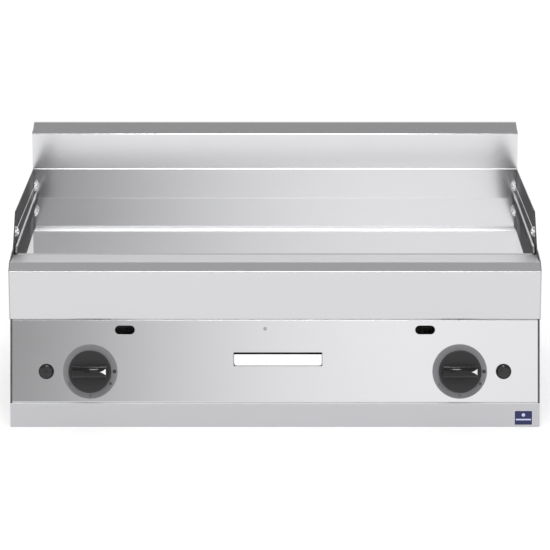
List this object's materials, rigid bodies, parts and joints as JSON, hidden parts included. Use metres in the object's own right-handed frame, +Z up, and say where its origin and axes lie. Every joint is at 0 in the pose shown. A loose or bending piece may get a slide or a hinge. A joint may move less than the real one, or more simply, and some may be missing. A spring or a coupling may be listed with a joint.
{
  "type": "flat top griddle",
  "caption": "Countertop gas griddle: smooth steel plate between splash guards, rear flue hood, front grease gutter with pull-out tray, push-and-turn taps and piezo igniters.",
  "frame": {"origin": "middle of the base pan's underside, on the surface that the griddle stands on", "axes": "+Z up, +Y to the back, +X to the right seen from the controls; the controls face -Y"},
  "size_m": [0.8056, 0.7156, 0.3738],
  "materials": {
    "satin_stainless": "satin",
    "polished_stainless": "polished",
    "plain_sheet": "mill finish",
    "ground_steel": "ground and polished",
    "mineral_wool": "loose fibre",
    "copper": "drawn tube",
    "burner_steel": "heat stained",
    "brass": "machined",
    "zinc_steel": "zinc plated",
    "black_phenolic": "moulded, semi gloss",
    "bezel_grey": "anodised grey",
    "black_plastic": "moulded",
    "ceramic": "glazed",
    "blue_enamel": "enamel",
    "white_enamel": "white enamel",
    "bright_screw": "bright"
  },
  "bodies": {
    "casing": {"base_pan": "satin_stainless", "left_side_panel": "satin_stainless", "right_side_panel": "satin_stainless", "back_panel": "satin_stainless", "kick_strip": "satin_stainless", "control_panel": "polished_stainless", "nose": "satin_stainless", "left_splash_guard": "satin_stainless", "right_splash_guard": "satin_stainless", "rear_wall": "polished_stainless", "flue_hood": "satin_stainless", "flue_grille": "satin_stainless", "flue_baffle": "plain_sheet", "griddle_plate": "ground_steel", "plate_rims": "polished_stainless", "grease_gutter": "satin_stainless", "tray_runners": "plain_sheet", "heat_shield": "plain_sheet", "chamber_front_wall": "plain_sheet", "chamber_side_walls": "plain_sheet", "insulation": "mineral_wool", "burner_supports": "plain_sheet", "left_burner": "burner_steel", "right_burner": "burner_steel", "left_injector": "brass", "right_injector": "brass", "gas_manifold": "zinc_steel", "gas_inlet": "brass", "left_gas_valve": "brass", "right_gas_valve": "brass", "left_bezel": "bezel_grey", "right_bezel": "bezel_grey", "left_burner_pipe": "copper", "right_burner_pipe": "copper", "left_pilot": "zinc_steel", "right_pilot": "zinc_steel", "left_pilot_pipe": "copper", "right_pilot_pipe": "copper", "left_thermocouple": "copper", "right_thermocouple": "copper", "left_igniter": "black_plastic", "right_igniter": "black_plastic", "left_electrode": "ceramic", "right_electrode": "ceramic", "badge": "blue_enamel", "guard_screws": "bright_screw", "casing_screws": "bright_screw", "foot_inserts": "zinc_steel"},
    "left_push": {"left_push_rod": "brass"},
    "right_push": {"right_push_rod": "brass"},
    "left_tap": {"left_spindle": "zinc_steel", "left_knob": "black_phenolic"},
    "right_tap": {"right_spindle": "zinc_steel", "right_knob": "black_phenolic"},
    "left_button": {"left_igniter_button": "black_phenolic"},
    "right_button": {"right_igniter_button": "black_phenolic"},
    "tray": {"grease_tray": "plain_sheet", "tray_front": "white_enamel"}
  },
  "joints": [
    {"name": "left_tap_push", "type": "slide", "parent": "casing", "child": "left_push", "axis": [0, 0.9847, -0.174], "range_m": [0, 0.004], "stiffness_N_per_m": 1500, "springref_m": -0.003},
    {"name": "left_tap_turn", "type": "hinge", "parent": "left_push", "child": "left_tap", "pos_m": [-0.278, -0.32666, 0.0832], "axis": [0, 0.9847, -0.174], "range_deg": [0, 150]},
    {"name": "left_igniter_press", "type": "slide", "parent": "casing", "child": "left_button", "axis": [0, 0.9847, -0.174], "range_m": [0, 0.005], "stiffness_N_per_m": 800, "springref_m": -0.002},
    {"name": "right_tap_push", "type": "slide", "parent": "casing", "child": "right_push", "axis": [0, 0.9847, -0.174], "range_m": [0, 0.004], "stiffness_N_per_m": 1500, "springref_m": -0.003},
    {"name": "right_tap_turn", "type": "hinge", "parent": "right_push", "child": "right_tap", "pos_m": [0.278, -0.32666, 0.0832], "axis": [0, 0.9847, -0.174], "range_deg": [0, 150]},
    {"name": "right_igniter_press", "type": "slide", "parent": "casing", "child": "right_button", "axis": [0, 0.9847, -0.174], "range_m": [0, 0.005], "stiffness_N_per_m": 800, "springref_m": -0.002},
    {"name": "tray_pull", "type": "slide", "parent": "casing", "child": "tray", "axis": [0, -1, 0], "range_m": [0, 0.36]}
  ]
}
